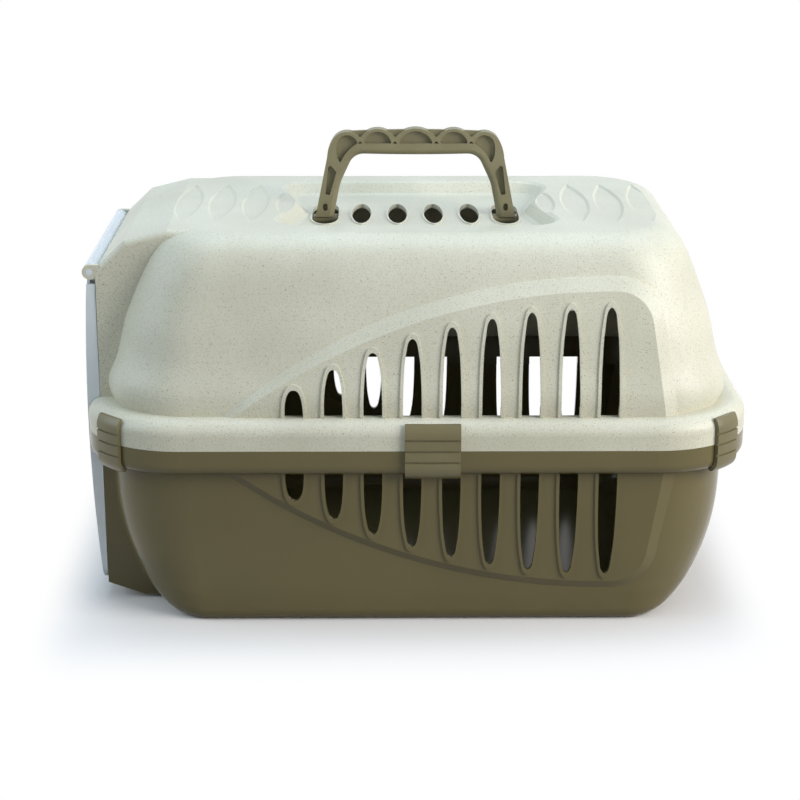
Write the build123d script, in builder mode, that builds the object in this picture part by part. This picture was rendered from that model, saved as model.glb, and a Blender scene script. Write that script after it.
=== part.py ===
from build123d import *
import os
from math import cos, radians, sin, sqrt

# A plastic pet carrier: a ventilated upper shell over a tray, a clear door that swings up at
# the front, a folding carry handle, and six clips that hold the two halves together.
# Millimetres. +X points to the rear and the door is at -X, +Z is up, z = 0 is the underside of
# the tray, and the carrier is symmetric about the plane y = 0.

# Body walls
wall = 2.5
top_height = 293.0
parting_height = 142.0
body_half_length = 234.0
body_half_width = 154.0
body_corner = 62.0

# How far the upper shell draws in towards its top, and how round its upper edges are
shell_end_lean = 40.0
shell_side_lean = 30.0
lean_power = 1.9
shell_end_round = 16.0
shell_side_round = 19.0
shell_corner_loss = 24.0

# How far the tray draws in towards its bottom, and how round its lower edges are
tray_end_lean = 11.0
tray_side_lean = 5.0
tray_end_round = 50.0
tray_end_round_height = 90.0
tray_side_round = 8.0
tray_side_round_height = 10.0
tray_corner_loss = 47.0

# Heights of the tray's sections as shares of its height, closest where it turns under
tray_sections = (0, 0.01, 0.028, 0.052, 0.085, 0.13, 0.2, 0.3, 0.42, 0.56, 0.7, 0.85, 1)

# Belt where the halves meet
belt_end_reach = 16.0
belt_side_reach = 12.0
belt_rise = 22.5
belt_drop = 20.0
belt_skin = 2.5
belt_floor = 2.5
belt_top_round = 11.5
belt_bottom_round = 8.0
lip_thickness = 2.0
lip_height = 5.0
lip_clearance = 0.6

# Half-moon panels on the two sides, and their vents
panel_left = -155.0
panel_crest_start = 140.0
panel_crest_end = 145.0
panel_right_top = 181.0
panel_right_base = 192.0
panel_height = 101.5
tray_panel_height = 97.0
panel_corner_drop = 32.0
panel_proud = 3.0
panel_lean_share = 0.78
panel_corner = 35.0
bevel_width = 9.5
bevel_depth = 5.5
vent_count = 9
vent_pitch = 29.0
vent_middle = 24.5
vent_half_width = 6.9
vent_height = 81.0
vent_roundness = 2.5
vent_steps = 6
vent_rim_width = 2.4
vent_rim_tip = 4.0
vent_rim_proud = 1.3

# Collar round the doorway
collar_half_width = 102.0
collar_front = -240.0
collar_bottom = 13.0
collar_heel = (-212.0, 3.0)
collar_side_round = 5.0
collar_front_turn = 5.0
collar_top_front = (-236.0, 268.0)
collar_top_middle = (-218.0, 285.0)
collar_top_back = (-186.0, 293.0)
doorway_half_width = 88.0
doorway_bottom = 30.0
doorway_top = 248.0
doorway_corner = 24.0
doorway_cut = 10.0

# Clear door
door_front = -250.0
door_half_width = 101.0
door_thickness = 2.2
door_gap = 0.6
door_bottom = 14.0
door_top_front = -246.5
door_bottom_front = -243.5
door_bulge_height = 140.0
door_bottom_corner = 12.0
door_pivot_height = 261.0
door_bead_radius = 5.5
door_pin_radius = 2.5
door_pin_clearance = 0.06
door_ear_thickness = 4.5
door_ear_gap = 0.5
door_slot_count = 7
door_slot_pitch = 22.0
door_slot_width = 9.0
door_slot_length = 150.0
door_slot_step = 14.0
door_slot_middle = 140.0

# Recess in the top of the shell, its holes and its handle sockets
saddle_depth = 10.0
saddle_half_width = 74.0
saddle_notch = 82.0
saddle_half_length = 100.0
saddle_slopes = ((1.5, 65.0), (7.0, 40.0), (1.5, 65.0))
saddle_corner_round = 14.0
saddle_notch_round = 30.0
hole_count = 4
hole_pitch = 28.3
hole_width = 15.0
hole_length = 72.0
hole_rim_width = 1.6
hole_rim_proud = 1.0
socket_spacing = 141.5
socket_width = 20.5
socket_length = 76.0
socket_straight = 32.0

# Sunk ornaments on the two top panels
ornament_depth = 1.3
ornament_draft = 58.0
oval_distance = 102.0
oval_width = 14.0
oval_length = 72.0
leaf_count = 3
leaf_first = 125.5
leaf_pitch = 26.5
leaf_width = 18.0
leaf_length = 130.0

# Carry handle: outline points are (x, z) of its right half
handle_pivot_height = 279.5
handle_depth = 11.0
handle_web = 3.0
foot_bottom = 282.0
foot_outside = 78.6
foot_width = 14.2
knee_inside = (59.0, 309.0)
knee_round = 40.0
grip_inside = (48.2, 332.0)
grip_inside_round = 12.0
grip_underside = 331.2
grip_edge_round = 4.5
shoulder_low = (69.2, 329.0)
shoulder_middle = (67.3, 338.0)
shoulder_high = (63.0, 345.6)
end_bump_top = (56.0, 349.3)
next_bump_top = 351.7
middle_bump_top = 352.1
web_crown = 350.8
valley_height = 344.8
valley_places = (16.1, 43.3)
valley_round = 1.0
grip_bar_top = 340.4
rib_over_bump = 2.0
rib_beside_valley = 2.8
valley_pocket_width = 3.8
valley_pocket_height = 1.8
end_pocket_arcs = (
    ((45.4, 340.6), (53.8, 346.9), (61.0, 341.5)),
    ((61.0, 341.5), (62.0, 334.0), (59.0, 324.8)),
    ((59.0, 324.8), (53.4, 333.8), (45.4, 340.6)),
)
leg_pocket = ((66.6, 323.3), (62.0, 317.8), (67.4, 299.4), (70.8, 300.2), (68.3, 321.6))
pocket_round = 0.8
foot_pocket_place = (70.9, 290.0)
foot_pocket_length = 6.0
foot_pocket_width = 3.6
barrel_radius = 4.0
barrel_gap = 0.55
handle_pin_radius = 2.2
handle_pin_clearance = 0.06
handle_pin_reach = 3.6
handle_pin_gap = 0.4
bearing_thickness = 4.5
bearing_half_depth = 8.0
bearing_drop = 8.0

# Clips
side_clip_width = 41.0
corner_clip_width = 24.0
side_clip_position = 10.5
clip_thickness = 3.0
clip_gap = 0.4
clip_top = 162.3
clip_bottom = 119.6
clip_groove_heights = (134.0, 142.5, 151.0)
clip_groove_width = 1.6
clip_groove_depth = 1.1
clip_pivot_height = 122.2
clip_pivot_inset = 4.6
clip_knuckle_radius = 2.0
clip_pin_radius = 1.2
clip_pin_clearance = 0.06
clip_lug_thickness = 3.0
clip_lug_gap = 0.4
clip_notch_margin = 1.5
clip_notch_height = 126.0

# Values that follow from the ones above
belt_top = parting_height + belt_rise
belt_bottom = parting_height - belt_drop
belt_half_length = body_half_length + belt_end_reach
belt_half_width = body_half_width + belt_side_reach
belt_corner = body_corner + belt_side_reach
saddle_floor = top_height - saddle_depth
panel_crest = belt_top + panel_height
clip_outer = clip_gap + clip_thickness
wide = 2 * belt_half_length
door_bead_x = door_front + door_bead_radius
door_back = collar_front - door_gap
door_bead_half_width = door_half_width - door_ear_thickness - door_ear_gap
door_side_top = door_pivot_height - door_bead_radius - 2 * door_gap - wall
barrel_length = socket_width - 2 * barrel_gap
foot_inside = foot_outside - foot_width


def rounding(distance, height, reach):
    """How far a quarter ellipse has drawn in, at a distance past its start."""
    share = min(max(distance / height, 0.0), 1.0)
    return reach * (1 - sqrt(1 - share**2))


def shell_sizes(z):
    """Half length, half width and corner radius of the shell's outside at a height."""
    lean = max((z - parting_height) / (top_height - parting_height), 0.0) ** lean_power
    end_turn = rounding(z - top_height + shell_end_round, shell_end_round, shell_end_round)
    side_turn = rounding(z - top_height + shell_side_round, shell_side_round, shell_side_round)
    half_length = body_half_length - shell_end_lean * lean - end_turn
    half_width = body_half_width - shell_side_lean * lean - side_turn
    loss = shell_corner_loss * (lean + side_turn / shell_side_round) / 2
    return half_length, half_width, body_corner - loss


def tray_sizes(z):
    """Half length, half width and corner radius of the tray's outside at a height."""
    lean = ((parting_height - z) / parting_height) ** lean_power
    end_turn = rounding(tray_end_round_height - z, tray_end_round_height, tray_end_round)
    side_turn = rounding(tray_side_round_height - z, tray_side_round_height, tray_side_round)
    half_length = body_half_length - tray_end_lean * lean - end_turn
    half_width = body_half_width - tray_side_lean * lean - side_turn
    loss = tray_corner_loss * (end_turn / tray_end_round)
    return half_length, half_width, body_corner - loss


def panel_sizes(sizes):
    """The body's sizes as the side panels take them: walls more upright and corners tighter."""
    def sizes_with_panels(z):
        half_length, half_width, corner = sizes(z)
        upright_width = body_half_width - panel_lean_share * (body_half_width - half_width)
        return half_length, upright_width, corner * panel_corner / body_corner
    return sizes_with_panels


shell_heights = [parting_height + share * (top_height - shell_side_round - parting_height)
                 for share in (0, 0.2, 0.4, 0.6, 0.8, 1)]
shell_heights += [top_height - shell_side_round * (1 - sin(radians(turn))) for turn in (30, 55, 75, 90)]
tray_heights = [parting_height * share for share in tray_sections]


def body_form(sizes, heights, lift, inset):
    """A smooth body through rounded rectangles, moved up by lift and drawn in by inset."""
    with BuildPart() as form:
        for z in heights:
            half_length, half_width, corner = sizes(z)
            with BuildSketch(Plane.XY.offset(z + lift)):
                RectangleRounded(2 * (half_length - inset), 2 * (half_width - inset), corner - inset)
        loft()
    return form.part


def belt_block(grow):
    """The belt's rounded outline as one solid, grown on every side."""
    with BuildPart() as block:
        with BuildSketch(Plane.XY.offset(belt_bottom - grow)):
            RectangleRounded(2 * (belt_half_length + grow), 2 * (belt_half_width + grow), belt_corner + grow)
        extrude(amount=belt_rise + belt_drop + 2 * grow)
        fillet(block.edges().group_by(Axis.Z)[-1], belt_top_round + grow)
        fillet(block.edges().group_by(Axis.Z)[0], belt_bottom_round + grow)
    return block.part


def box_between(low, high):
    """A box from its lowest to its highest corner."""
    with BuildPart() as box:
        with Locations(tuple((low[axis] + high[axis]) / 2 for axis in range(3))):
            Box(*[high[axis] - low[axis] for axis in range(3)])
    return box.part


def panel_outline(base, crest):
    """The half-moon of a side panel between two heights, in the XZ plane."""
    run = panel_crest_start - panel_left
    rise = abs(crest - base)
    sweep = (run**2 + rise**2) / (2 * rise)
    up = 1 if crest > base else -1
    corner_height = crest - up * panel_corner_drop
    with BuildSketch(Plane.XZ) as outline:
        with BuildLine():
            RadiusArc((panel_left, base), (panel_crest_start, crest), up * sweep)
            Line((panel_crest_start, crest), (panel_crest_end, crest))
            TangentArc((panel_crest_end, crest), (panel_right_top, corner_height), tangent=(1, 0))
            Line((panel_right_top, corner_height), (panel_right_base, base))
            Line((panel_right_base, base), (panel_left, base))
        make_face()
    return outline.sketch


def panel_form(grown_form, base, crest, side):
    """A side panel, raised off the wall and bevelled round its curved edge."""
    outline = panel_outline(base, crest)
    with BuildPart() as panel:
        extrude(outline, amount=-side * wide)
        add(grown_form, mode=Mode.INTERSECT)
        face = panel.faces().sort_by(Axis.Y)[0 if side < 0 else -1]
        edges = [edge for edge in face.edges() if abs(edge.center().Z - base) > door_gap]
        chamfer(edges, length=bevel_width, length2=bevel_depth, reference=face)
    return panel.part


def panel_hollow(inner_form, base, crest, side):
    """The space behind a side panel's face, inside its bevel."""
    with BuildPart() as hollow:
        with BuildSketch(Plane.XZ) as outline:
            add(panel_outline(base, crest))
            offset(amount=-bevel_width, mode=Mode.REPLACE)
        extrude(outline.sketch, amount=-side * wide)
        add(inner_form, mode=Mode.INTERSECT)
    return hollow.part


def vent_length(x):
    """Length of the vent at x, so that the tips follow the curved edge of the panel."""
    run = panel_crest_start - panel_left
    sweep = (run**2 + panel_height**2) / (2 * panel_height)
    past = max(panel_crest_start - x, 0.0)
    return vent_height - sweep + sqrt(sweep**2 - past**2)


def vent_sketch(x, base, half_width, length):
    """One vent with upright sides and a rounded tip; a negative length points it down."""
    half = []
    for step in range(vent_steps + 1):
        turn = radians(90 * step / vent_steps)
        across = cos(turn) ** (2 / vent_roundness) if step < vent_steps else 0.0
        along = sin(turn) ** (2 / vent_roundness)
        half.append((half_width * across, length * along))
    points = [(x + across, base + along) for across, along in half]
    points += [(x - across, base + along) for across, along in reversed(half[:-1])]
    with BuildSketch(Plane.XZ) as vent:
        with BuildLine():
            Spline(*points, tangents=[(0, length), (0, -length)])
            Line(points[-1], points[0])
        make_face()
    return vent.sketch


def vent_form(base, up, side_grow, tip_grow):
    """All the vents of both sides as prisms through the body, grown at their sides and tips."""
    with BuildPart() as vents:
        for index in range(vent_count):
            x = vent_middle + (index - (vent_count - 1) / 2) * vent_pitch
            length = up * (vent_length(x) + tip_grow)
            extrude(vent_sketch(x, base, vent_half_width + side_grow, length), amount=wide, both=True)
    return vents.part


def collar_form(inset, z_from, z_to):
    """The collar round the doorway between two heights, drawn in by inset."""
    front = collar_front + inset
    back = -body_half_length / 2
    with BuildPart() as collar:
        with BuildSketch(Plane.XZ):
            with BuildLine():
                Polyline(
                    (front, collar_bottom + inset),
                    (front, collar_top_front[1] - collar_front_turn - inset),
                    (collar_top_front[0] + inset, collar_top_front[1] - inset),
                    (collar_top_middle[0] + inset, collar_top_middle[1] - inset),
                    (collar_top_back[0], collar_top_back[1] - inset),
                    (back, collar_top_back[1] - inset),
                    (back, collar_heel[1] + inset),
                    (collar_heel[0], collar_heel[1] + inset),
                    close=True,
                )
            make_face()
        extrude(amount=collar_half_width - inset, both=True)
        rims = [edge for edge in collar.edges()
                if abs(edge.center().Y) > collar_half_width - inset - door_gap]
        roof_start = collar_top_front[1] - collar_front_turn - inset
        roof = [edge for edge in rims if edge.center().Z > roof_start and edge.center().X > front]
        fillet(roof, max(collar_side_round - inset, door_gap))
        add(box_between((-wide, -wide, z_from), (0, wide, z_to)), mode=Mode.INTERSECT)
    return collar.part


def doorway_form():
    """The rounded doorway as a prism through the front of the collar."""
    height = doorway_top - doorway_bottom
    with BuildPart() as doorway:
        with BuildSketch(Plane.YZ.offset(collar_front - wall)):
            with Locations((0, (doorway_top + doorway_bottom) / 2)):
                RectangleRounded(2 * doorway_half_width, height, doorway_corner)
        extrude(amount=doorway_cut)
    return doorway.part


def saddle_form(grow, floor):
    """The recess between the two top panels, notched at both ends, grown by a wall."""
    half_width = saddle_half_width + grow
    half_length = saddle_half_length + grow
    notch = saddle_notch + grow
    with BuildPart() as saddle:
        with BuildSketch(Plane.XY.offset(floor)) as outline:
            Polygon(
                (half_length, half_width), (notch, 0), (half_length, -half_width),
                (-half_length, -half_width), (-notch, 0), (-half_length, half_width),
                align=None,
            )
            columns = outline.vertices().group_by(Axis.Y)
            fillet(columns[1], saddle_notch_round)
            fillet(outline.vertices().group_by(Axis.X)[0] + outline.vertices().group_by(Axis.X)[-1],
                   saddle_corner_round)
        extrude(amount=saddle_slopes[0][0], taper=-saddle_slopes[0][1])
        for height, slope in saddle_slopes[1:]:
            extrude(saddle.faces().sort_by(Axis.Z)[-1], amount=height, taper=-slope)
        extrude(saddle.faces().sort_by(Axis.Z)[-1], amount=top_height + wall - floor - saddle_depth)
    return saddle.part


def top_opening_places():
    """X of the vent holes and of the handle's sockets along the top."""
    holes = [(index - (hole_count - 1) / 2) * hole_pitch for index in range(hole_count)]
    sockets = [side * socket_spacing / 2 for side in (-1, 1)]
    return holes, sockets


def top_openings(grow, low, high):
    """The holes and sockets in the recess as prisms, grown by a rim's width."""
    holes, sockets = top_opening_places()
    with BuildPart() as openings:
        with BuildSketch(Plane.XY.offset(low)):
            with Locations(*[(x, 0) for x in holes]):
                Ellipse(hole_width / 2 + grow, hole_length / 2 + grow)
            with Locations(*[(x, 0) for x in sockets]):
                Rectangle(socket_width + 2 * grow, socket_straight)
            with Locations(*[(x, side * socket_straight / 2) for x in sockets for side in (-1, 1)]):
                Ellipse(socket_width / 2 + grow, (socket_length - socket_straight) / 2 + grow)
        extrude(amount=high - low)
    return openings.part


def leaf_sketch(plane, x, side):
    """A pointed leaf across the top, its middle bowed away from the handle."""
    half_width = leaf_width / 2
    with BuildSketch(plane) as leaf:
        with BuildLine():
            ThreePointArc((x, -leaf_length / 2), (x + side * half_width, 0), (x, leaf_length / 2))
            ThreePointArc((x, leaf_length / 2), (x - side * half_width, 0), (x, -leaf_length / 2))
        make_face()
    return leaf.sketch


def ornament_forms():
    """The sunk oval and leaves of both top panels as tapered cutters."""
    plane = Plane.XY.offset(top_height - ornament_depth)
    height = ornament_depth + wall
    cutters = []
    for side in (-1, 1):
        with BuildPart() as oval:
            with BuildSketch(plane):
                with Locations((side * oval_distance, 0)):
                    Ellipse(oval_width / 2 - ornament_depth, oval_length / 2 - ornament_depth)
            extrude(amount=height, taper=-ornament_draft)
        cutters.append(oval.part)
        for index in range(leaf_count):
            with BuildPart() as leaf:
                extrude(leaf_sketch(plane, side * (leaf_first + index * leaf_pitch), side),
                        amount=height, taper=-ornament_draft)
            cutters.append(leaf.part)
    return cutters


def clip_frames():
    """Plane of every clip's middle: origin on the belt's outside, x outward, y up."""
    diagonal = cos(radians(45))
    corner_x = belt_half_length - belt_corner * (1 - diagonal)
    corner_y = belt_half_width - belt_corner * (1 - diagonal)
    corner_inset = (belt_half_length - belt_corner - body_half_length + body_corner
                    + belt_half_width - belt_corner - body_half_width + body_corner) * diagonal
    corner_reach = corner_inset + belt_corner - body_corner
    frames = {}
    for y_side, side_name in ((-1, "left"), (1, "right")):
        outward = Vector(0, y_side, 0)
        origin = (side_clip_position, y_side * belt_half_width, 0)
        frames[side_name + "_side_clip"] = (origin, outward, side_clip_width, belt_side_reach)
        for x_side, end_name in ((-1, "front"), (1, "rear")):
            outward = Vector(x_side * diagonal, y_side * diagonal, 0)
            origin = (x_side * corner_x, y_side * corner_y, 0)
            name = end_name + "_" + side_name + "_clip"
            frames[name] = (origin, outward, corner_clip_width, corner_reach)
    return frames


def clip_plane(origin, outward):
    """Sketch plane across a clip: x points out of the carrier and y points up."""
    return Plane(origin=origin, x_dir=outward, z_dir=outward.cross(Vector(0, 0, 1)))


def clip_box(frame, low_out, high_out, low_up, high_up, low_along, high_along):
    """A box in a clip's own frame: outward, up, and along the belt."""
    origin, outward = frame[0], frame[1]
    plane = clip_plane(origin, outward)
    with BuildPart() as box:
        with BuildSketch(plane.offset(low_along)):
            with Locations(((low_out + high_out) / 2, (low_up + high_up) / 2)):
                Rectangle(high_out - low_out, high_up - low_up)
        extrude(amount=high_along - low_along)
    return box.part


def clip_rod(frame, radius, low_along, high_along):
    """A rod on a clip's pivot axis."""
    plane = clip_plane(frame[0], frame[1])
    with BuildPart() as rod:
        with BuildSketch(plane.offset(low_along)):
            with Locations((-clip_pivot_inset, clip_pivot_height)):
                Circle(radius)
        extrude(amount=high_along - low_along)
    return rod.part


def clip_lug_span(frame):
    """Where the tray's two lugs for a clip start and end, along the belt."""
    outer = frame[2] / 2 - clip_notch_margin
    return outer - clip_lug_thickness, outer


clips = clip_frames()
shell_outer = body_form(shell_sizes, shell_heights, 0, 0)
shell_inner = body_form(shell_sizes, shell_heights, -wall, wall)
tray_outer = body_form(tray_sizes, tray_heights, 0, 0)
tray_inner = body_form(tray_sizes, tray_heights, wall, wall)
belt = belt_block(0)
belt_hollow = belt_block(-belt_skin)
doorway = doorway_form()
front_gap = box_between(
    (-wide, -door_half_width - 2 * door_gap, belt_bottom - wall),
    (collar_front + wall, door_half_width + 2 * door_gap, belt_top + wall),
)
front_closure = box_between(
    (-wide, -door_half_width - 2 * door_gap - belt_skin, 0),
    (0, door_half_width + 2 * door_gap + belt_skin, top_height),
)


def body_prism(grow, z_from, z_to):
    """The body's outline at the parting line as a straight prism."""
    with BuildPart() as prism:
        with BuildSketch(Plane.XY.offset(z_from)):
            RectangleRounded(2 * (body_half_length + grow), 2 * (body_half_width + grow), body_corner + grow)
        extrude(amount=z_to - z_from)
    return prism.part


def belt_channel(z_from, z_to):
    """The hollow behind the belt's skin between two heights."""
    with BuildPart() as channel:
        add(belt_hollow)
        add(box_between((-wide, -wide, z_from), (wide, wide, z_to)), mode=Mode.INTERSECT)
        add(body_prism(0, 0, top_height), mode=Mode.SUBTRACT)
        add(front_closure, mode=Mode.SUBTRACT)
    return channel.part


# Upper shell
shell_grown = body_form(panel_sizes(shell_sizes), shell_heights, 0, -panel_proud)
shell_rims_form = body_form(panel_sizes(shell_sizes), shell_heights, 0, -panel_proud - vent_rim_proud)
shell_panel_inner = body_form(panel_sizes(shell_sizes), shell_heights, 0, wall - panel_proud)
shell_vents = vent_form(belt_top, 1, 0, 0)
with BuildPart() as shell_rims:
    add(vent_form(belt_top, 1, vent_rim_width, vent_rim_tip))
    add(shell_rims_form, mode=Mode.INTERSECT)

with BuildPart() as shell_cavity:
    add(shell_inner)
    add(collar_form(wall, parting_height - wall, top_height))
    add(saddle_form(wall, saddle_floor - wall), mode=Mode.SUBTRACT)
    for side in (-1, 1):
        backing_start = side * (saddle_notch + wall)
        backing_end = side * (leaf_first + leaf_count * leaf_pitch)
        low_x, high_x = sorted((backing_start, backing_end))
        add(box_between((low_x, -saddle_half_width, top_height - wall - ornament_depth),
                        (high_x, saddle_half_width, top_height)), mode=Mode.SUBTRACT)

bearing_low = handle_pivot_height - bearing_drop
bearing_inside = socket_width / 2
with BuildPart() as upper_shell:
    add(belt)
    add(front_gap, mode=Mode.SUBTRACT)
    add(shell_outer)
    add(collar_form(0, parting_height, top_height))
    for side in (-1, 1):
        add(panel_form(shell_grown, belt_top - wall, panel_crest, side))
    add(shell_rims)
    add(box_between((-wide, -wide, parting_height), (wide, wide, top_height + wall)), mode=Mode.INTERSECT)
    add(saddle_form(0, saddle_floor), mode=Mode.SUBTRACT)
    add(ornament_forms(), mode=Mode.SUBTRACT)
    add(belt_channel(parting_height - wall, belt_top), mode=Mode.SUBTRACT)
    add(shell_cavity, mode=Mode.SUBTRACT)
    for side in (-1, 1):
        add(panel_hollow(shell_panel_inner, belt_top - wall, panel_crest, side), mode=Mode.SUBTRACT)
    add(doorway, mode=Mode.SUBTRACT)
    add(shell_vents, mode=Mode.SUBTRACT)
    add(top_openings(hole_rim_width, saddle_floor - wall, saddle_floor + hole_rim_proud))
    for place in top_opening_places()[1]:
        for side in (-1, 1):
            near = place + side * bearing_inside
            far = near + side * bearing_thickness
            low_x, high_x = sorted((near, far))
            add(box_between((low_x, -bearing_half_depth, bearing_low),
                            (high_x, bearing_half_depth, saddle_floor)))
    add(top_openings(0, bearing_low - wall, top_height), mode=Mode.SUBTRACT)
    for place in top_opening_places()[1]:
        length = socket_width + 2 * (handle_pin_reach + handle_pin_gap)
        with BuildSketch(Plane.YZ.offset(place - length / 2)):
            with Locations((0, handle_pivot_height)):
                Circle(handle_pin_radius + handle_pin_clearance)
        extrude(amount=length, mode=Mode.SUBTRACT)
    for side in (-1, 1):
        ear_start = side * (door_bead_half_width + door_ear_gap)
        low_y, high_y = sorted((ear_start, side * door_half_width))
        add(box_between((door_bead_x, low_y, door_pivot_height - door_bead_radius),
                        (collar_front + wall, high_y, door_pivot_height + door_bead_radius)))
        with BuildSketch(Plane.XZ.offset(-high_y)):
            with Locations((door_bead_x, door_pivot_height)):
                Circle(door_bead_radius)
        extrude(amount=high_y - low_y)
    for radius, half_width in ((door_bead_radius + door_gap, door_bead_half_width + door_ear_gap),
                               (door_pin_radius + door_pin_clearance, wide)):
        with BuildSketch(Plane.XZ):
            with Locations((door_bead_x, door_pivot_height)):
                Circle(radius)
        extrude(amount=half_width, both=True, mode=Mode.SUBTRACT)
upper_shell.part.label = "upper_shell"

# Lower tray
tray_grown = body_form(panel_sizes(tray_sizes), tray_heights, 0, -panel_proud)
tray_rims_form = body_form(panel_sizes(tray_sizes), tray_heights, 0, -panel_proud - vent_rim_proud)
tray_panel_inner = body_form(panel_sizes(tray_sizes), tray_heights, 0, wall - panel_proud)
tray_crest = belt_bottom - tray_panel_height
tray_vents = vent_form(belt_bottom, -1, 0, 0)
with BuildPart() as tray_rims:
    add(vent_form(belt_bottom, -1, vent_rim_width, vent_rim_tip))
    add(tray_rims_form, mode=Mode.INTERSECT)

with BuildPart() as lip:
    add(body_prism(lip_clearance + lip_thickness, parting_height - belt_floor, parting_height + lip_height))
    add(body_prism(lip_clearance, 0, top_height), mode=Mode.SUBTRACT)
    add(front_closure, mode=Mode.SUBTRACT)

with BuildPart() as lower_tray:
    add(belt)
    add(front_gap, mode=Mode.SUBTRACT)
    add(tray_outer)
    add(collar_form(0, 0, parting_height))
    for side in (-1, 1):
        add(panel_form(tray_grown, belt_bottom + wall, tray_crest, side))
    add(tray_rims)
    add(box_between((-wide, -wide, 0), (wide, wide, parting_height)), mode=Mode.INTERSECT)
    add(belt_channel(belt_bottom - wall, parting_height - belt_floor), mode=Mode.SUBTRACT)
    add(tray_inner, mode=Mode.SUBTRACT)
    for side in (-1, 1):
        add(panel_hollow(tray_panel_inner, belt_bottom + wall, tray_crest, side), mode=Mode.SUBTRACT)
    add(collar_form(wall, 0, parting_height + wall), mode=Mode.SUBTRACT)
    add(doorway, mode=Mode.SUBTRACT)
    add(tray_vents, mode=Mode.SUBTRACT)
    add(lip)
    for frame in clips.values():
        half_width, reach = frame[2] / 2, frame[3]
        notch_half = half_width - clip_notch_margin
        lug_start, lug_end = clip_lug_span(frame)
        add(clip_box(frame, -belt_side_reach, wall, belt_bottom - wall, clip_notch_height,
                     -notch_half, notch_half), mode=Mode.SUBTRACT)
        for low, high in ((-lug_end, -lug_start), (lug_start, lug_end)):
            add(clip_box(frame, -reach - wall / 2, -clip_pivot_inset + clip_knuckle_radius,
                         clip_pivot_height, clip_notch_height + belt_skin, low, high))
            add(clip_rod(frame, clip_knuckle_radius, low, high))
        add(clip_rod(frame, clip_pin_radius + clip_pin_clearance, -half_width, half_width),
            mode=Mode.SUBTRACT)
lower_tray.part.label = "lower_tray"

# Clear door, with a round bead along its top that turns between the collar's ears


def door_profile(inset):
    """Side view of the door below its bead, drawn in from the front by inset."""
    with BuildSketch(Plane.XZ) as profile:
        with BuildLine():
            ThreePointArc(
                (door_top_front + inset, door_pivot_height),
                (door_front + inset, door_bulge_height),
                (door_bottom_front + inset, door_bottom + inset),
            )
            Polyline(
                (door_bottom_front + inset, door_bottom + inset),
                (door_back, door_bottom + inset),
                (door_back, door_pivot_height),
                (door_top_front + inset, door_pivot_height),
            )
        make_face()
    return profile.sketch


with BuildPart() as front_door:
    extrude(door_profile(0), amount=door_half_width, both=True)
    fillet(front_door.edges().filter_by(Axis.X).group_by(Axis.Z)[0], door_bottom_corner)
    extrude(door_profile(door_thickness), amount=door_half_width - door_thickness, both=True,
            mode=Mode.SUBTRACT)
    add(box_between((door_top_front + door_thickness, -wide, door_side_top), (0, wide, top_height)),
        mode=Mode.SUBTRACT)
    for side in (-1, 1):
        low_y, high_y = sorted((side * door_bead_half_width, side * wide))
        add(box_between((-wide, low_y, door_side_top), (0, high_y, top_height)), mode=Mode.SUBTRACT)
    with BuildSketch(Plane.XZ):
        with Locations((door_bead_x, door_pivot_height)):
            Circle(door_bead_radius)
    extrude(amount=door_bead_half_width, both=True)
    with BuildSketch(Plane.XZ):
        with Locations((door_bead_x, door_pivot_height)):
            Circle(door_pin_radius)
    extrude(amount=door_half_width, both=True)
    with BuildSketch(Plane.YZ.offset(door_front - wall)):
        for index in range(door_slot_count):
            away = index - (door_slot_count - 1) / 2
            with Locations((away * door_slot_pitch, door_slot_middle)):
                SlotOverall(door_slot_length - abs(away) * door_slot_step, door_slot_width, rotation=90)
    extrude(amount=-door_front + collar_front, mode=Mode.SUBTRACT)
front_door.part.label = "front_door"


# Carry handle: a web with ribs on both faces, which rise over the grip as finger bumps
def mirrored(points, side):
    """Outline points of the handle's right half, or the same on its left."""
    return [(side * x, z) for x, z in points]


def arch_sketch():
    """Front view of the space under the grip."""
    half = ((foot_inside, foot_bottom), knee_inside, grip_inside)
    with BuildSketch(Plane.XZ) as arch:
        with BuildLine():
            for side in (-1, 1):
                Polyline(*mirrored(half, side))
            Line((-foot_inside, foot_bottom), (foot_inside, foot_bottom))
            ThreePointArc((-grip_inside[0], grip_inside[1]), (0, grip_underside), grip_inside)
        make_face()
        fillet(arch.vertices().group_by(Axis.Y)[-1], grip_inside_round)
        fillet([corner for corner in arch.vertices() if abs(corner.Y - knee_inside[1]) < pocket_round],
               knee_round)
    return arch.sketch


def front_view(with_bumps):
    """Front view of the handle, topped by its finger bumps or by the web's plain crown."""
    near, far = valley_places
    with BuildSketch(Plane.XZ) as view:
        with BuildLine():
            Line((-foot_outside, foot_bottom), (foot_outside, foot_bottom))
            for side in (-1, 1):
                shoulder = mirrored((shoulder_low, shoulder_middle, shoulder_high), side)
                Line((side * foot_outside, foot_bottom), shoulder[0])
                ThreePointArc(*shoulder)
                if with_bumps:
                    ThreePointArc(*mirrored((shoulder_high, end_bump_top, (far, valley_height)), side))
                    ThreePointArc(*mirrored(((far, valley_height), ((near + far) / 2, next_bump_top),
                                             (near, valley_height)), side))
                else:
                    Line(*mirrored((shoulder_high, end_bump_top), side))
            if with_bumps:
                ThreePointArc((-near, valley_height), (0, middle_bump_top), (near, valley_height))
            else:
                ThreePointArc((-end_bump_top[0], end_bump_top[1]), (0, web_crown), end_bump_top)
        make_face()
        if with_bumps:
            fillet([corner for corner in view.vertices()
                    if min(abs(abs(corner.X) - place) for place in valley_places) < valley_round],
                   valley_round)
        add(arch_sketch(), mode=Mode.SUBTRACT)
    return view.sketch


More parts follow.
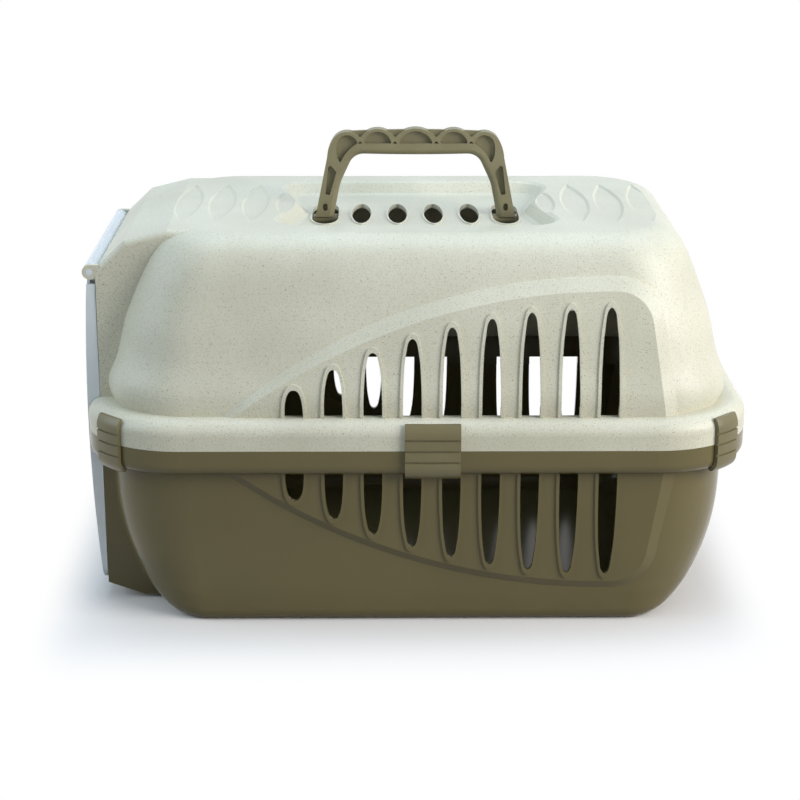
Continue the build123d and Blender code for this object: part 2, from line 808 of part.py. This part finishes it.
def pocket_sketch():
    """Front view of the hollows between the handle's ribs."""
    near, far = valley_places
    domes = [(0, near, middle_bump_top)]
    domes += [(side * (near + far) / 2, (far - near) / 2, next_bump_top) for side in (-1, 1)]
    with BuildSketch(Plane.XZ) as pockets:
        for middle, half_width, top in domes:
            half = half_width - rib_beside_valley
            with BuildLine():
                ThreePointArc((middle - half, grip_bar_top), (middle, top - rib_over_bump),
                              (middle + half, grip_bar_top))
                Line((middle + half, grip_bar_top), (middle - half, grip_bar_top))
            make_face()
        for side in (-1, 1):
            with BuildLine():
                for arc in end_pocket_arcs:
                    ThreePointArc(*mirrored(arc, side))
            make_face()
            Polygon(*mirrored(leg_pocket, side), align=None)
        fillet(pockets.vertices(), pocket_round)
        for side in (-1, 1):
            with Locations((side * foot_pocket_place[0], foot_pocket_place[1])):
                SlotOverall(foot_pocket_length, foot_pocket_width, rotation=90)
            for place in valley_places:
                Polygon(*mirrored(((place - valley_pocket_width / 2, grip_bar_top),
                                   (place + valley_pocket_width / 2, grip_bar_top),
                                   (place, grip_bar_top + valley_pocket_height)), side), align=None)
    return pockets.sketch


handle_pockets = pocket_sketch()
with BuildPart() as carry_handle:
    extrude(front_view(True), amount=handle_depth / 2, both=True)
    faces_edges = [edge for edge in carry_handle.edges()
                   if abs(abs(edge.center().Y) - handle_depth / 2) < pocket_round]
    fillet([edge for edge in faces_edges
            if abs(edge.center().X) < foot_inside and foot_bottom < edge.center().Z < grip_bar_top
            and abs(edge.center().Z - foot_bottom) > pocket_round], grip_edge_round)
    for side in (-1, 1):
        extrude(handle_pockets.moved(Location((0, side * handle_depth / 2, 0))),
                amount=side * (handle_depth - handle_web) / 2, mode=Mode.SUBTRACT)
    extrude(front_view(False), amount=handle_web / 2, both=True)
    for side in (-1, 1):
        for radius, length in ((barrel_radius, barrel_length),
                               (handle_pin_radius, socket_width + 2 * handle_pin_reach)):
            with BuildSketch(Plane.YZ.offset(side * socket_spacing / 2 - length / 2)):
                with Locations((0, handle_pivot_height)):
                    Circle(radius)
            extrude(amount=length)
carry_handle.part.label = "carry_handle"

# The clips: a grooved skin that follows the belt, a hooked foot, and a pinned knuckle
with BuildPart() as clip_ring:
    add(belt_block(clip_outer))
    add(belt_block(clip_gap), mode=Mode.SUBTRACT)
    add(box_between((-wide, -wide, clip_bottom), (wide, wide, clip_top)), mode=Mode.INTERSECT)
    for height in clip_groove_heights:
        with BuildSketch(Plane.XY.offset(height - clip_groove_width / 2)):
            for grow, mode in ((clip_outer + wall, Mode.ADD),
                               (clip_outer - clip_groove_depth, Mode.SUBTRACT)):
                RectangleRounded(2 * (belt_half_length + grow), 2 * (belt_half_width + grow),
                                 belt_corner + grow, mode=mode)
        extrude(amount=clip_groove_width, mode=Mode.SUBTRACT)

clip_parts = {}
for clip_name, frame in clips.items():
    half_width = frame[2] / 2
    lug_start, lug_end = clip_lug_span(frame)
    knuckle_end = lug_start - clip_lug_gap
    with BuildPart() as clip:
        add(clip_ring)
        add(clip_box(frame, -clip_pivot_inset - clip_knuckle_radius, wide, 0, top_height,
                     -half_width, half_width), mode=Mode.INTERSECT)
        add(clip_box(frame, -clip_pivot_inset - wide, -clip_pivot_inset + clip_knuckle_radius,
                     clip_notch_height,
                     top_height, -half_width, half_width), mode=Mode.SUBTRACT)
        for low, high in ((-wide, -knuckle_end), (knuckle_end, wide)):
            add(clip_box(frame, -wide, clip_lug_gap - clip_pivot_inset + clip_knuckle_radius, 0,
                         clip_notch_height, low, high), mode=Mode.SUBTRACT)
        add(clip_rod(frame, clip_knuckle_radius, -knuckle_end, knuckle_end))
        add(clip_rod(frame, clip_pin_radius, -lug_end, lug_end))
    clip.part.label = clip_name
    clip_parts[clip_name] = clip.part

os.makedirs("parts", exist_ok=True)
finished = {
    "lower_tray": lower_tray.part,
    "upper_shell": upper_shell.part,
    "front_door": front_door.part,
    "carry_handle": carry_handle.part,
    **clip_parts,
}
for piece_name, piece in finished.items():
    export_step(piece, "parts/" + piece_name + ".step")
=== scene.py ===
from math import cos, radians, sin

import bpy
from mathutils import Matrix, Vector

# A plastic pet carrier on a pale floor: speckled cream shell, glossy taupe tray, clear door.
# Metres, in the model's own frame: the door is at -X and the tray stands on z = 0.

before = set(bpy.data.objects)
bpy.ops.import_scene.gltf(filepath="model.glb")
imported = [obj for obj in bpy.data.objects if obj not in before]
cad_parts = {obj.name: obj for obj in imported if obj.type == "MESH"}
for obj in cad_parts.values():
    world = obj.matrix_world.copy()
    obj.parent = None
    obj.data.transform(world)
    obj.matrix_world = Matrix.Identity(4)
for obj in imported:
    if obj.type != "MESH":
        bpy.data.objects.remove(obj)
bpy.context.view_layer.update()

# Camera, as fitted to the photograph: its lens and sensor are in millimetres
camera_place = (-0.02907, -1.55125, 0.6161)
camera_pitch = radians(17.419)
camera_yaw = radians(0.6364)
camera_roll = radians(0.1033)
camera_lens = 90.0
camera_sensor = 36.0

# Colours, in linear light
shell_colour = (0.695, 0.66, 0.53)
shell_shade_colour = (0.62, 0.585, 0.46)
fleck_grey = (0.43, 0.43, 0.36)
fleck_brown = (0.26, 0.21, 0.12)
tray_colour = (0.158, 0.127, 0.053)
tray_streak_colour = (0.136, 0.109, 0.045)
handle_colour = (0.205, 0.178, 0.098)
handle_light_colour = (0.250, 0.220, 0.125)
clip_colour = (0.148, 0.122, 0.055)
clip_light_colour = (0.175, 0.148, 0.068)
door_colour = (0.93, 0.97, 1.0)
floor_colour = (0.89, 0.835, 0.80)
floor_bounce_colour = (0.20, 0.19, 0.155)
sky_low_colour = (0.10, 0.095, 0.075)
sky_high_colour = (0.40, 0.50, 0.60)
white = (1.0, 1.0, 1.0)

# Finish of each plastic, and of the floor
shell_roughness = 0.42
shell_specular = 0.45
tray_roughness = 0.20
tray_specular = 0.3
handle_roughness = 0.42
clip_roughness = 0.34
door_roughness = 0.18
door_specular = 1.0
door_transmission = 0.30
door_refractive_index = 1.45
floor_roughness = 0.8

# Floor: outside a rectangle of this half length and half width it fades to plain white over
# the width of the fade, and this many times quicker past the rectangle's ends
floor_size = 40.0
shade_middle = -0.01
shade_half_length = 0.235
shade_half_width = 0.165
shade_end_speed = 2.0
shade_fade = 0.10

# Sky: its colour changes between these heights on the unit sphere
sky_low = -0.1
sky_high = 0.8


def new_material(name):
    """An empty node material with a principled shader, ready to be wired."""
    material = bpy.data.materials.new(name)
    material.use_nodes = True
    nodes = material.node_tree.nodes
    return material, nodes, material.node_tree.links, nodes["Principled BSDF"]


def object_coordinates(nodes):
    """A point's place in its object's own axes, in metres."""
    return nodes.new("ShaderNodeTexCoord").outputs["Object"]


def noise(nodes, links, scale, detail):
    """A noise texture's factor, with its scale in repeats per metre."""
    texture = nodes.new("ShaderNodeTexNoise")
    texture.inputs["Scale"].default_value = scale
    texture.inputs["Detail"].default_value = detail
    links.new(object_coordinates(nodes), texture.inputs["Vector"])
    return texture.outputs["Fac"]


def ramp(nodes, links, factor, low, high):
    """A factor stretched so that low becomes 0 and high becomes 1."""
    stretch = nodes.new("ShaderNodeMapRange")
    stretch.inputs["From Min"].default_value = low
    stretch.inputs["From Max"].default_value = high
    links.new(factor, stretch.inputs["Value"])
    return stretch.outputs["Result"]


def patches(nodes, links, scale, detail, low, high):
    """Soft patches: 0 where a noise texture is under low and 1 where it is over high."""
    return ramp(nodes, links, noise(nodes, links, scale, detail), low, high)


def mix_colour(nodes, links, factor, first, second):
    """A colour between two, each a plain colour or another node's output."""
    mixer = nodes.new("ShaderNodeMix")
    mixer.data_type = "RGBA"
    links.new(factor, mixer.inputs["Factor"])
    for socket, colour in (("A", first), ("B", second)):
        if isinstance(colour, tuple):
            mixer.inputs[socket].default_value = (*colour, 1)
        else:
            links.new(colour, mixer.inputs[socket])
    return mixer.outputs["Result"]


def grain(nodes, links, shader, scale, detail, strength, depth):
    """Fine relief on a surface, from a noise texture, with its depth in metres."""
    relief = nodes.new("ShaderNodeBump")
    relief.inputs["Strength"].default_value = strength
    relief.inputs["Distance"].default_value = depth
    links.new(noise(nodes, links, scale, detail), relief.inputs["Height"])
    links.new(relief.outputs["Normal"], shader.inputs["Normal"])


def speckled_shell():
    """Cream plastic with fine brown and grey flecks, a satin face and a faint grain."""
    material, nodes, links, shader = new_material("speckled_shell")
    tone = patches(nodes, links, scale=14.0, detail=2.0, low=0.35, high=0.7)
    grey_flecks = patches(nodes, links, scale=1700.0, detail=1.0, low=0.53, high=0.76)
    brown_flecks = patches(nodes, links, scale=1300.0, detail=0.0, low=0.70, high=0.84)
    colour = mix_colour(nodes, links, tone, shell_colour, shell_shade_colour)
    colour = mix_colour(nodes, links, grey_flecks, colour, fleck_grey)
    colour = mix_colour(nodes, links, brown_flecks, colour, fleck_brown)
    links.new(colour, shader.inputs["Base Color"])
    shader.inputs["Roughness"].default_value = shell_roughness
    shader.inputs["Specular IOR Level"].default_value = shell_specular
    grain(nodes, links, shader, scale=400.0, detail=2.0, strength=0.06, depth=0.0004)
    return material


def glossy_tray():
    """Dark taupe plastic with a high gloss and faint flow marks from moulding."""
    material, nodes, links, shader = new_material("glossy_tray")
    flow = patches(nodes, links, scale=9.0, detail=3.0, low=0.3, high=0.75)
    colour = mix_colour(nodes, links, flow, tray_colour, tray_streak_colour)
    links.new(colour, shader.inputs["Base Color"])
    shader.inputs["Roughness"].default_value = tray_roughness
    shader.inputs["Specular IOR Level"].default_value = tray_specular
    grain(nodes, links, shader, scale=90.0, detail=1.0, strength=0.015, depth=0.0005)
    return material


def satin_trim(name, main_colour, light_colour, roughness):
    """Taupe plastic with a fine grain, for the handle or the clips."""
    material, nodes, links, shader = new_material(name)
    tone = patches(nodes, links, scale=30.0, detail=3.0, low=0.3, high=0.75)
    colour = mix_colour(nodes, links, tone, main_colour, light_colour)
    links.new(colour, shader.inputs["Base Color"])
    shader.inputs["Roughness"].default_value = roughness
    grain(nodes, links, shader, scale=500.0, detail=2.0, strength=0.08, depth=0.0003)
    return material


def clear_door():
    """Clear plastic, faintly blue and a little cloudy, with slight waves from moulding."""
    material, nodes, links, shader = new_material("clear_door")
    shader.inputs["Base Color"].default_value = (*door_colour, 1)
    shader.inputs["Transmission Weight"].default_value = door_transmission
    shader.inputs["Specular IOR Level"].default_value = door_specular
    shader.inputs["Roughness"].default_value = door_roughness
    shader.inputs["IOR"].default_value = door_refractive_index
    grain(nodes, links, shader, scale=60.0, detail=2.0, strength=0.04, depth=0.001)
    return material


def dress_nodes():
    """Gives every node of the model its material: those without one of their own are clips."""
    clip = satin_trim("clip_taupe", clip_colour, clip_light_colour, clip_roughness)
    chosen = {
        "upper_shell": speckled_shell(),
        "lower_tray": glossy_tray(),
        "front_door": clear_door(),
        "carry_handle": satin_trim("handle_taupe", handle_colour, handle_light_colour, handle_roughness),
    }
    for name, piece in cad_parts.items():
        for slot in piece.material_slots:
            slot.material = chosen.get(name, clip)


def seen_directly(nodes, links):
    """1 for rays from the camera, through clear plastic or off a gloss, and 0 for diffuse light."""
    path = nodes.new("ShaderNodeLightPath")
    total = path.outputs["Is Camera Ray"]
    for output in ("Is Transmission Ray", "Is Glossy Ray"):
        highest = nodes.new("ShaderNodeMath")
        highest.operation = "MAXIMUM"
        links.new(total, highest.inputs[0])
        links.new(path.outputs[output], highest.inputs[1])
        total = highest.outputs[0]
    return total


def vector_math(nodes, links, operation, first, second=(0, 0, 0)):
    """An operation on a node's output and, where it takes two vectors, a plain vector."""
    node = nodes.new("ShaderNodeVectorMath")
    node.operation = operation
    links.new(first, node.inputs[0])
    node.inputs[1].default_value = second
    return node.outputs["Value" if operation == "LENGTH" else "Vector"]


def floor_distance(nodes, links):
    """How far a point of the floor is into the fade, 0 round the carrier and 1 where it is white."""
    place = vector_math(nodes, links, "SUBTRACT", object_coordinates(nodes), (shade_middle, 0, 0))
    place = vector_math(nodes, links, "ABSOLUTE", place)
    past = vector_math(nodes, links, "SUBTRACT", place, (shade_half_length, shade_half_width, 0))
    past = vector_math(nodes, links, "MAXIMUM", past, (0, 0, 0))
    past = vector_math(nodes, links, "MULTIPLY", past, (shade_end_speed, 1, 0))
    fade = nodes.new("ShaderNodeMapRange")
    fade.interpolation_type = "SMOOTHSTEP"
    fade.inputs["From Max"].default_value = shade_fade
    links.new(vector_math(nodes, links, "LENGTH", past), fade.inputs["Value"])
    return fade.outputs["Result"]


def add_floor():
    """A pale floor that keeps the carrier's soft shadow and fades to plain white around it.

    Where it is not seen but only lights the carrier, it has its darker bounce colour.
    """
    bpy.ops.mesh.primitive_plane_add(size=floor_size, location=(0, 0, 0))
    floor = bpy.context.object
    floor.name = "floor"
    material, nodes, links, shader = new_material("floor_white")
    seen = seen_directly(nodes, links)
    colour = mix_colour(nodes, links, seen, floor_bounce_colour, floor_colour)
    links.new(colour, shader.inputs["Base Color"])
    shader.inputs["Roughness"].default_value = floor_roughness
    plain = nodes.new("ShaderNodeEmission")
    plain.inputs["Color"].default_value = (*white, 1)
    seen_and_far = nodes.new("ShaderNodeMath")
    seen_and_far.operation = "MULTIPLY"
    links.new(seen, seen_and_far.inputs[0])
    links.new(floor_distance(nodes, links), seen_and_far.inputs[1])
    fade = nodes.new("ShaderNodeMixShader")
    links.new(seen_and_far.outputs[0], fade.inputs["Fac"])
    links.new(shader.outputs["BSDF"], fade.inputs[1])
    links.new(plain.outputs["Emission"], fade.inputs[2])
    links.new(fade.outputs["Shader"], nodes["Material Output"].inputs["Surface"])
    floor.data.materials.append(material)


def add_world():
    """A white surround where it is seen, and a soft sky, bluish from above, where it gives light."""
    world = bpy.data.worlds.new("surround")
    bpy.context.scene.world = world
    world.use_nodes = True
    nodes = world.node_tree.nodes
    links = world.node_tree.links
    coordinates = nodes.new("ShaderNodeTexCoord")
    direction = nodes.new("ShaderNodeSeparateXYZ")
    links.new(coordinates.outputs["Generated"], direction.inputs["Vector"])
    height = ramp(nodes, links, direction.outputs["Z"], sky_low, sky_high)
    sky = mix_colour(nodes, links, height, sky_low_colour, sky_high_colour)
    colour = mix_colour(nodes, links, seen_directly(nodes, links), sky, white)
    links.new(colour, nodes["Background"].inputs["Color"])


def add_lamp(name, place, aim, size, power, colour):
    """A square soft box at a place, turned to face a point, with its power in watts."""
    lamp = bpy.data.lights.new(name, "AREA")
    lamp.energy = power
    lamp.size = size
    lamp.color = colour
    stand = bpy.data.objects.new(name, lamp)
    bpy.context.scene.collection.objects.link(stand)
    stand.location = place
    stand.rotation_euler = (Vector(aim) - Vector(place)).to_track_quat("-Z", "Y").to_euler()


def add_camera():
    """The photograph's camera, from its pitch, yaw and roll."""
    forward = Vector((
        sin(camera_yaw) * cos(camera_pitch),
        cos(camera_yaw) * cos(camera_pitch),
        -sin(camera_pitch),
    ))
    level_right = Vector((cos(camera_yaw), -sin(camera_yaw), 0))
    level_up = level_right.cross(forward)
    right = cos(camera_roll) * level_right + sin(camera_roll) * level_up
    up = -sin(camera_roll) * level_right + cos(camera_roll) * level_up
    data = bpy.data.cameras.new("camera")
    data.lens = camera_lens
    data.sensor_width = camera_sensor
    camera = bpy.data.objects.new("camera", data)
    bpy.context.scene.collection.objects.link(camera)
    camera.location = camera_place
    camera.rotation_euler = Matrix((right, up, -forward)).transposed().to_euler()
    bpy.context.scene.camera = camera


dress_nodes()
add_floor()
add_world()
add_lamp("right_box", place=(1.45, -0.9, 0.85), aim=(0.05, 0, 0.15),
         size=1.1, power=30.5, colour=(1.0, 0.99, 0.97))
add_lamp("top_box", place=(0.05, 0.30, 1.9), aim=(0, 0, 0.1),
         size=1.6, power=16.5, colour=(0.66, 0.83, 1.0))
add_lamp("left_box", place=(-1.7, -0.35, 0.95), aim=(0, 0, 0.15),
         size=1.2, power=12.0, colour=(0.80, 0.92, 1.0))
add_camera()
bpy.context.scene.view_settings.view_transform = "Standard"
